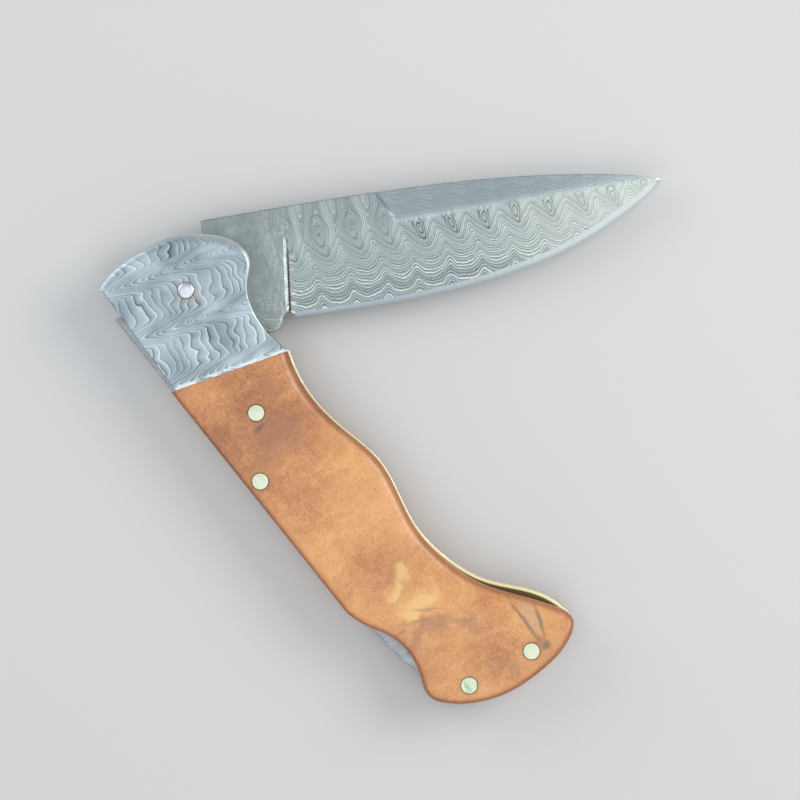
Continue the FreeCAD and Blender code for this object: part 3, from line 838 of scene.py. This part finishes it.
# rings are shares of the radius, footRises are heights above the underside, domeHeights shares of the dome
pinLook = {
    "crown": 0.07, "chamfer": 0.1, "rings": [0.3, 0.6, 0.85, 1.0], "proud": 0.04, "footRing": 0.5,
    "footRises": (0.01, 0.05, 0.15), "dome": 0.4, "domeRings": [1.0, 0.97, 0.9, 0.75, 0.5, 0.25],
    "domeHeights": [0.2, 0.45, 0.66, 0.83, 0.95, 0.99]}


def crownedPin(name, node, centre, low, high, metal):
    # a pin with slightly crowned ends, which fall off with the square of the distance from the axis
    s, radius = pinLook, handle["pin"]
    ring = np.array(s["rings"]) * (radius - s["chamfer"])
    drop = s["crown"] * (ring / radius) ** 2
    ends = s["crown"] + s["chamfer"]
    under = [(0.0, low), *zip(ring, low + drop), (radius, low + ends)]
    over = [(radius, high - ends), *zip(ring[::-1], (high - drop)[::-1]), (0.0, high)]
    mesh = turnedMesh(name, centre, under + over)
    newPiece(name, mesh, "handle", [node], [metals[metal]])


def handlePins():
    # three pins right through the handle, and a short rivet in each scale
    h = handle
    inner, top = h["outer"] + h["liner"], h["top"] + pinLook["proud"]
    belly, spine = h["buttPins"]
    crownedPin("lockBarPin", "lock_bar_pin", h["rocker"], 0.0, top, "pinSilver")
    crownedPin("buttPinBelly", "butt_pin_belly", belly, 0.0, top, "pinSilver")
    crownedPin("buttPinSpine", "butt_pin_spine", spine, 0.0, top, "pinAged")
    crownedPin("frontRivet", "front_scale_rivet", h["rivet"], h["top"] - inner, top, "pinSilver")
    crownedPin("rearRivet", "rear_scale_rivet", h["rivet"], 0.0, inner, "pinSilver")


def pivotPin():
    # straight pin, flush behind, whose front end is a low dome with a rolled rim
    s, r, top = pinLook, handle["pin"], handle["top"]
    foot = [(0.0, 0.0), *zip((s["footRing"] * r, r - s["chamfer"], r), s["footRises"])]
    dome = zip(np.array(s["domeRings"]) * r, top + s["dome"] * np.array(s["domeHeights"]))
    mesh = turnedMesh("pivotPin", (0.0, 0.0), [*foot, *dome, (0.0, top + s["dome"])])
    newPiece("pivotPin", mesh, "handle", ["pivot_pin"], [metals["pivotSteel"]])


# Blade, drawn with u along it and w across it from the pivot, and turned by its angle at the end

# sections: share of the way from heel to tip, edge, spine; choil, relief and lug are arcs: radius, start, end
bladeShape = {
    "angle": 61.2, "middle": 6.65, "half": 1.5, "tip": (92.8, 5.9), "spine": 12.85, "heel": (20.8, -8.2),
    "sections": [(0.19, -8.6, 12.7), (0.385, -8.3, 12.35), (0.58, -6.65, 11.4), (0.715, -4.45, 10.3),
        (0.853, -0.6, 8.7), (0.924, 2.0, 7.6), (0.967, 3.9, 6.75)],
    "ridge": 6.6, "ridgeBend": 12.0, "tipHalf": 0.25, "taper": 35.0, "taperPower": 1.5,
    "edgeWidth": ([20.8, 55.0, 85.0], [0.8, 1.2, 1.65]), "edgeMost": 0.7, "edgeShoulder": 0.3,
    "edgeHalf": 0.04, "edgeSlope": 0.24, "falseHalf": 0.5, "falseMost": 0.8, "falseLeast": 0.3,
    "falseStart": 41.4, "falseSlant": 0.58, "falseRun": 0.7,
    "plunge": 19.5, "plungeSlant": 0.127, "plungeRun": 0.8, "plungeFall": 0.42, "plungeStep": 0.14,
    "choil": ((18.3, -8.5), 1.35, 13.0, 184.5),
    "kick": [(16.25, -9.6), (15.65, -10.18), (14.9, -10.36), (13.6, -10.17)],
    "relief": (7.2, 250.0, 143.15), "lug": (8.6, 110.0, 84.0), "notch": [(0.9, 7.2), (4.65, 7.2)],
    "shoulder": 4.65, "hole": 1.65, "round": 0.16, "kickRound": 0.35, "roundFrom": 0.4, "spacing": 0.8,
    "rows": 5, "sharp": 22, "lineSteps": (220, 50, 25), "shortOfTip": 0.4, "pastHeel": 1.0,
    "pastSpine": 0.5}

# pairs in the eyes' and rings' settings hold before and after eyeRun
bladePattern = {
    "rung": 6.25, "firstRung": 26.6, "ridge": 6.1, "lean": 1.6, "leanReach": 8.0, "sway": (2.2, 1.5, 0),
    "bevelSlope": 0.077, "wallSlope": 0.1, "falseSlope": 0.045, "flatSlope": 0.02, "pair": 0.04,
    "crest": (0.15, 0.062), "rough": 0.08, "fine": 0.022, "crowding": 0.13, "eyeRun": (41.0, 46.0),
    "eyeHeight": (6.2, 4.4), "eyeSize": (0.95, 2.1), "eyeGrowth": (1.95, 1.0), "eyeLift": (0.06, 0.16),
    "eyePoint": 0.4, "eyeRing": 0.475, "ringEdge": (0.72, 0.35), "ringDark": (0.15, 0.5), "hairs": 6.35,
    "dark": (0.075, 0.095, 0.095, 1), "shade": (0.245, 0.29, 0.295, 1), "mid": (0.345, 0.40, 0.405, 1),
    "light": (0.76, 0.83, 0.79, 1), "cream": (0.82, 0.86, 0.76, 1), "ricassoShade": (0.205, 0.24, 0.22, 1),
    "crevice": (0.05, 0.04, 0.025, 1), "falseTint": (0.52, 0.62, 0.66, 1),
    "amounts": {"falseTint": 0.5, "hairs": 0.4, "tip": 0.36, "specks": 0.32, "bristles": 0.6, "kick": 0.6,
        "crevice": 0.8, "crest": 0.09}}


def bladePlaces(tree):
    # where a point lies: u and w, the same swayed as the layers are, its distances from the ridge, from the
    # start of the false edge and from the plunge, and masks of those faces
    s, b = bladePattern, bladeShape
    where = placed(tree, (0, 0, -b["middle"]), -b["angle"])
    u, w, z = parts(where)
    along, across, _ = parts(distorted(where, 0.13, s["sway"]))
    below = s["ridge"] - across
    above = calc("MAXIMUM", -below, 0.0)
    past = above * b["falseSlant"] + (along - b["falseStart"])
    onFalse = scaled(past, -0.3, 0.8) * scaled(above, 0.0, 0.4)
    crease = u - (w * b["plungeSlant"] + b["plunge"])
    return SimpleNamespace(
        where=where, u=u, w=w, z=z, along=along, across=across, below=below, above=above, past=past,
        onBevel=calc("MAXIMUM", below, 0.0), onFalse=onFalse, notFalse=1.0 - onFalse, crease=crease,
        ricasso=scaled(crease, 0.1, -0.9))


def eyeReach(p, fromRung):
    # distance from the eye on the nearest rung, in its own half lengths: an ellipse that narrows downwards
    s = bladePattern
    beside = calc("PINGPONG", fromRung, s["rung"] / 2) / s["eyeSize"][0]
    beyond = (p.across - scaled(p.u, *s["eyeRun"], *s["eyeHeight"])) / s["eyeSize"][1]
    beside = beside * (1.0 - calc("MINIMUM", beyond, 0.0) * s["eyePoint"])
    reach = calc("SQRT", beside * beside + beyond * beyond)
    return reach / scaled(p.u, *s["eyeRun"], *s["eyeGrowth"])


def layerDepth(p, angle, reach):
    # how deep in the stack a ground face lies: its distance from the ridge times its slope, less a wave that
    # crests at each rung and a lift inside each eye, made uneven by noise
    s = bladePattern
    slope = scaled(p.past, -0.3, 0.8, s["flatSlope"], s["falseSlope"])
    depth = p.onBevel * s["bevelSlope"] + p.above * slope + (bladeShape["half"] - abs(p.z)) * s["wallSlope"]
    twice = calc("COSINE", angle * 2.0) * scaled(p.onBevel, 1.0, 9.0, 0.05, -0.28)
    thrice = calc("COSINE", angle * 3.0) * (p.notFalse * 0.1)
    wave = calc("COSINE", angle) + twice + thrice
    depth = depth - wave * scaled(p.onBevel, 0.0, 10.0, *s["crest"]) * (1.0 - p.onFalse * 0.8)
    depth = depth - scaled(reach, 1.0, 0.15) * p.notFalse * scaled(p.u, *s["eyeRun"], *s["eyeLift"])
    depth = depth + (noise(p.where, 0.45, 3.0, 0.55) - 0.5) * s["rough"]
    return depth + (noise(p.where, 2.6) - 0.5) * s["fine"]


def lineContrast(p):
    # the lines are strongest towards the tip and the edge, and faintest on the ricasso
    contrast = scaled(p.u, 38.0, 62.0, 0.64, 1.0) + scaled(p.onBevel, 5.0, 11.0, 0.0, 0.45)
    contrast = contrast - scaled(p.onBevel, 3.5, 0.5) * scaled(p.u, 45.0, 41.0) * 0.1 + p.onFalse * 0.3
    return contrast * scaled(p.along, 58.0, 90.0, 1.0, 1.1) * (1.0 - p.ricasso * 0.68)


def ladderTone(p):
    # layers dip under evenly spaced rungs, so the slanted bevel meets them in waves with an eye at each rung
    s = bladePattern
    fromRung = p.along - scaled(p.below, 0.0, s["leanReach"], 0.0, s["lean"]) - s["firstRung"]
    angle = fromRung * (2 * math.pi / s["rung"])
    reach = eyeReach(p, fromRung)
    depth = layerDepth(p, angle, reach)
    layer = depth / s["pair"] * (1.0 - depth * s["crowding"]) + firstLayer
    tone = useGroup(layerLinesGroup, Layer=layer, Contrast=lineContrast(p))
    tone = tone - calc("MAXIMUM", tone - 0.56, 0.0) * p.onFalse * 0.8
    ring = calc("COSINE", reach * (2 * math.pi / s["eyeRing"]))
    ring = scaled(ring, scaled(p.u, *s["eyeRun"], *s["ringEdge"]), 0.98) * scaled(reach, 1.08, 1.0)
    ring = ring * scaled(p.u, *s["eyeRun"], *s["ringDark"]) * (1.0 - calc("MAXIMUM", p.onFalse, p.ricasso))
    crest = scaled(calc("COSINE", angle + 0.9), 0.1, -1.0) * scaled(p.onBevel, 8.0, 2.0)
    return tone - ring + crest * s["amounts"]["crest"]


def etchedBladeSteel():
    # the ladder's tones, then pale hairs on the ridge, a paler tip, mottled painted shade on the ricasso
    # beside the bolster with worn specks, bristles at the foot of the plunge, a painted highlight on the
    # rounded kick and the dark crevice of the plunge
    s, a = bladePattern, bladePattern["amounts"]
    material, tree, shader = newMaterial("etchedBladeSteel")
    p = bladePlaces(tree)
    tone = ladderTone(p)
    colour = ramp(tone, [(0.04, s["dark"]), (0.36, s["shade"]), (0.56, s["mid"]), (0.92, s["light"])])
    colour = mixed(p.onFalse * a["falseTint"], colour, s["falseTint"])
    hair = scaled(drawnOut(p.where, (3.0, 0.3, 1)), 0.48, 0.62) * scaled(abs(p.w - s["hairs"]), 0.75, 0.1)
    colour = mixed(hair * scaled(p.u, 40.0, 43.0, 0.0, a["hairs"]), colour, s["cream"])
    toTip = scaled(p.along, 48.0, 92.0, 0.0, a["tip"]) * (1.0 - p.onFalse * 0.75)
    colour = mixed(toTip, colour, s["cream"])
    # painted shade on the ricasso, mottled and darkest beside the bolster
    shadeByBolster = scaled(p.crease, 0.3, -5.5) * scaled(noise(p.where, 0.55, 4.0, 0.65), 0.3, 0.7, 0.2, 0.6)
    colour = mixed(shadeByBolster, colour, s["ricassoShade"])
    speck = scaled(drawnOut(p.where, (2.2, 0.6, 1), detail=3.0, roughness=0.7), 0.5, 0.66)
    worn = scaled(p.crease, -7.0, -0.6, 0.15, 1.0) * scaled(p.crease, 0.0, -0.5)
    colour = mixed(worn * speck * a["specks"], colour, s["cream"])
    bristle = scaled(drawnOut(p.where, (0.35, 3.2, 1)), 0.52, 0.66)
    foot = scaled(p.crease, 0.1, 0.3) * scaled(p.crease, 1.8, 0.5) * scaled(p.w, 5.5, 3.0)
    colour = mixed(foot * bristle * a["bristles"], colour, s["cream"])
    # painted highlight along the rounded choil and kick
    colour = mixed(scaled(stored(tree, "fromKick"), 0.45, 0.15, 0.0, a["kick"]), colour, s["cream"])
    crevice = scaled(abs(p.crease), 0.34, 0.1) * scaled(p.w, 5.8, 3.5)
    colour = mixed(crevice * a["crevice"], colour, s["crevice"])
    marks = useGroup(satinMarksGroup, Vector=p.where)
    roughness = scaled(marks * 0.3 + tone, 0.2, 1.1, 0.48, 0.34)
    finishShader(shader, colour, roughness, tone, distance=0.012, strength=0.35, Metallic=1.0)
    return material


edgeLook = {"dark": (0.33, 0.38, 0.40, 1), "light": (0.45, 0.51, 0.53, 1), "shadow": (0.26, 0.30, 0.32, 1)}


def honedEdgeSteel():
    # the ground cutting edge: fine marks across it, paler towards the tip and darker at the very edge
    s = edgeLook
    material, tree, shader = newMaterial("honedEdgeSteel")
    where = placed(tree, degrees=90 - bladeShape["angle"])
    marks = useGroup(satinMarksGroup, Vector=where, Length=0.5, Across=5.0)
    colour = ramp(marks, [(0.25, s["dark"]), (0.75, s["light"])])
    colour = mixed(scaled(parts(where)[1], 38.0, 84.0, 0.0, 0.5), colour, bladePattern["light"])
    colour = mixed(scaled(stored(tree, "fromEdge"), 0.75, 0.0, 0.0, 0.55), colour, s["shadow"])
    roughness = scaled(marks, 0.2, 0.8, 0.44, 0.36)
    finishShader(shader, colour, roughness, marks, distance=0.004, strength=0.2, Metallic=1.0)
    return material


def bladeRuns():
    # the outline: spine and cutting edge through the sections, heel, choil, kick and the tang with its notch
    s = bladeShape
    heel, tip = s["heel"], s["tip"]
    share, low, high = np.array(s["sections"]).T
    reach = heel[0] + share * (tip[0] - heel[0])
    spine = splineThrough([(heel[0], s["spine"]), *zip(reach, high), tip])
    edge = splineThrough([heel, *zip(reach, low), tip])
    choil = arcRun(*s["choil"], step=0.12)
    relief = arcRun((0, 0), *s["relief"])
    lug = arcRun((0, 0), *s["lug"])
    kick = splineThrough([choil[-1], *s["kick"]], step=0.2)
    under = np.concatenate([kick[:-1], straightRun([s["kick"][-1], relief[0]])])
    notch = straightRun([lug[-1], *s["notch"], (s["shoulder"], s["spine"]), spine[0]])
    return SimpleNamespace(
        spine=spine, edge=edge, heel=straightRun([heel, choil[0]]), choil=choil, under=under, relief=relief,
        back=straightRun([relief[-1], lug[0]]), lug=lug, notch=notch)


def lastStretch(u, length):
    # share of the way through the stretch of that length before the tip
    return np.clip((u - bladeShape["tip"][0] + length) / length, 0, 1)


def ridgeAt(u):
    # level, then bent down to the tip by the square of the way there
    s = bladeShape
    return s["ridge"] - (s["ridge"] - s["tip"][1]) * lastStretch(u, s["ridgeBend"]) ** 2


def edgeAt(u, edge):
    # the cutting edge, and where the ground strip beside it ends
    low = np.interp(u, edge[:, 0], edge[:, 1])
    width = np.interp(u, *bladeShape["edgeWidth"])
    return low, low + np.minimum(width, bladeShape["edgeMost"] * (ridgeAt(u) - low))


def plungeAt(w):
    return bladeShape["plunge"] + bladeShape["plungeSlant"] * w


def falseAt(w):
    return bladeShape["falseStart"] - bladeShape["falseSlant"] * (w - bladeShape["ridge"])


def creaseLines(edge):
    # ridge, ground edge, plunge and the start of the false edge
    s = bladeShape
    alongSteps, plungeSteps, falseSteps = s["lineSteps"]
    u = np.linspace(plungeAt(s["ridge"]), s["tip"][0] - s["shortOfTip"], alongSteps)
    w = np.linspace(s["heel"][1] - s["pastHeel"], s["ridge"], plungeSteps)
    high = np.linspace(s["ridge"], s["spine"] + s["pastSpine"], falseSteps)
    lines = [np.column_stack([u, ridgeAt(u)]), np.column_stack([u, edgeAt(u, edge)[1]])]
    lines += [np.column_stack([plungeAt(w) + k, w]) for k in (-s["plungeRun"], -s["plungeStep"], 0)]
    return lines + [np.column_stack([falseAt(high) + k * s["falseRun"], high]) for k in (0, 0.5, 1)]


nearZero = 1e-6     # strips may close up at the tip


def between(value, low, high):
    # share of the way from low to high
    return np.clip((value - low) / (high - low + nearZero), 0, 1)


def halfThickness(u, w, spine, edge):
    # flat tang and ricasso, plunge wall, bevel from the ridge to the ground edge, and the false edge from the
    # ridge to the spine
    s = bladeShape
    ridge = ridgeAt(u)
    low, shoulder = edgeAt(u, edge)
    crest = s["half"] - (s["half"] - s["tipHalf"]) * lastStretch(u, s["taper"]) ** s["taperPower"]
    crest = np.minimum(crest, s["edgeHalf"] + s["edgeSlope"] * np.maximum(ridge - low, 0))
    shoulderHalf = np.minimum(s["edgeMost"] * crest, s["edgeHalf"] + s["edgeSlope"] * (shoulder - low))
    shoulderHalf = np.minimum(s["edgeShoulder"], shoulderHalf)
    bevel = shoulderHalf + (crest - shoulderHalf) * between(w, shoulder, ridge)
    ground = s["edgeHalf"] + (shoulderHalf - s["edgeHalf"]) * between(w, low, shoulder)
    lower = np.where(w < shoulder, ground, bevel)
    top = np.interp(u, spine[:, 0], spine[:, 1])
    falseHalf = np.minimum(s["falseHalf"], s["falseMost"] * crest)
    rise = np.clip((w - ridge) / np.maximum(top - ridge, s["falseLeast"]), 0, 1)
    upper = crest + (falseHalf - crest) * rise
    cut = np.where(w < ridge, lower, upper)
    fromPlunge = u - plungeAt(w)
    run = np.clip(fromPlunge + s["plungeRun"], 0, s["plungeRun"] - s["plungeStep"])
    wall = s["half"] - s["plungeFall"] * run
    plunge = wall + (cut - wall) * np.clip(fromPlunge / s["plungeStep"] + 1, 0, 1)
    plunge = np.maximum(plunge, np.minimum(cut, wall))
    begun = smoothStep((u - falseAt(w)) / s["falseRun"])
    return np.where(w < ridge, plunge, s["half"] + (cut - s["half"]) * begun)


def steelBlade():
    # a plate of that half thickness each side of its middle, with rounded rims and another finish on the edge
    s, r = bladeShape, bladeRuns()
    outline = closedLoop(r.spine, r.edge[::-1], r.heel, r.choil, r.under, r.relief, r.back, r.lug, r.notch)
    hole = ringHole((0, 0), s["hole"])
    rows = roundRows(s["kickRound"], s["rows"])
    flat, tris = sheetOf(outline, [hole], creaseLines(r.edge), s["spacing"], rows)
    half = halfThickness(*flat.T, r.spine, r.edge)
    crisp, soft = [r.spine, r.heel, r.relief, r.back, r.lug, r.notch], [r.choil, r.under]
    radii = [s["round"]] * len(crisp) + [s["kickRound"]] * len(soft)
    half = half - rimFall(flat, crisp + soft, radii) * (half > s["roundFrom"])
    half = np.maximum(half, s["edgeHalf"])
    mesh = plateMesh("blade", (turned(flat, s["angle"]), tris), s["middle"] + half, s["middle"] - half)
    storeDistance(mesh, "fromKick", np.tile(runDistance(flat, soft), 2))
    storeDistance(mesh, "fromEdge", np.tile(flat[:, 1] - edgeAt(flat[:, 0], r.edge)[0], 2))
    finishes = [etchedBladeSteel(), honedEdgeSteel()]
    newPiece("blade", mesh, "blade", ["blade"], finishes, s["sharp"])
    u, w = flat[tris].mean(1).T
    honed = (w < edgeAt(u, r.edge)[1]) & (u > plungeAt(w))
    slots = np.zeros(len(mesh.polygons), np.int32)
    slots[:2 * len(tris)] = np.tile(honed, 2)
    mesh.polygons.foreach_set("material_index", slots)


woodScales()
steelBolsters()
brassLiners()
steelLockBar()
leafSpring()
handlePins()
pivotPin()
print("handle made")
steelBlade()
print("blade made")

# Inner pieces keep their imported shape
for node, metal in (("butt_spacer", "groundBarSteel"), ("front_pivot_washer", "plainBronze"),
                    ("rear_pivot_washer", "plainBronze"), ("front_bolster_pins", "pinSilver"),
                    ("rear_bolster_pins", "pinSilver")):
    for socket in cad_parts[node].material_slots:
        socket.material = metals[metal]


# Stage

# lights: name, place from the centre, size, power, colour
stage = {
    "floor": 1500.0, "floorDrop": 0.05, "floorRough": 0.8, "paleFloor": (0.70, 0.70, 0.70, 1),
    "centre": (41.4, 18.8), "scaleHeight": 10.0, "width": 152.0, "distance": 650.0,
    "imageUp": (-0.7826, 0.6225), "sensor": 36.0, "room": (0.92, 0.96, 1.0, 1), "roomLight": 0.5,
    "lights": [("keySoftbox", (110, 410, 420), 380, 1.35, (1.0, 0.98, 0.95)),
        ("overheadSoftbox", (180, -145, 760), 900, 1.6, (0.98, 0.99, 1.0)),
        ("fillSoftbox", (-420, -150, 350), 430, 0.6, (0.95, 0.98, 1.0))]}


def paleFloor():
    size = stage["floor"] * mm
    mesh = bpy.data.meshes.new("paleFloor")
    corners = [(-size, -size, 0), (size, -size, 0), (size, size, 0), (-size, size, 0)]
    mesh.from_pydata(corners, [], [(0, 1, 2, 3)])
    material, _, shader = newMaterial("paleFloor")
    shader.inputs["Base Color"].default_value = stage["paleFloor"]
    shader.inputs["Roughness"].default_value = stage["floorRough"]
    mesh.materials.append(material)
    floor = bpy.data.objects.new("paleFloor", mesh)
    bpy.context.scene.collection.objects.link(floor)
    floor.location.z = -stage["floorDrop"] * mm


def softLights():
    target = Vector((*stage["centre"], 0)) * mm
    for name, place, size, power, colour in stage["lights"]:
        lamp = bpy.data.lights.new(name, "AREA")
        lamp.shape = "DISK"
        lamp.size = size * mm
        lamp.energy = power
        lamp.color = colour
        light = bpy.data.objects.new(name, lamp)
        light.location = target + Vector(place) * mm
        light.rotation_euler = (target - light.location).to_track_quat("-Z", "Y").to_euler()
        bpy.context.scene.collection.objects.link(light)
    world = bpy.data.worlds.new("paleRoom")
    world.use_nodes = True
    background = world.node_tree.nodes["Background"].inputs
    background["Color"].default_value = stage["room"]
    background["Strength"].default_value = stage["roomLight"]
    bpy.context.scene.world = world
    bpy.context.scene.view_settings.view_transform = "Standard"


def overheadCamera():
    # straight above, with the photograph's width in view at the height of the scales
    s = stage
    lens = bpy.data.cameras.new("overhead")
    lens.sensor_width = s["sensor"]
    lens.lens = s["sensor"] * (s["distance"] - s["scaleHeight"]) / s["width"]
    camera = bpy.data.objects.new("overhead", lens)
    up = Vector((*s["imageUp"], 0)).normalized()
    right = up.cross(Vector((0, 0, 1)))
    turn = Matrix((right, up, (0, 0, 1))).transposed().to_4x4()
    camera.matrix_world = Matrix.Translation(Vector((*s["centre"], s["distance"])) * mm) @ turn
    bpy.context.scene.collection.objects.link(camera)
    bpy.context.scene.camera = camera


paleFloor()
softLights()
overheadCamera()
print("stage set")
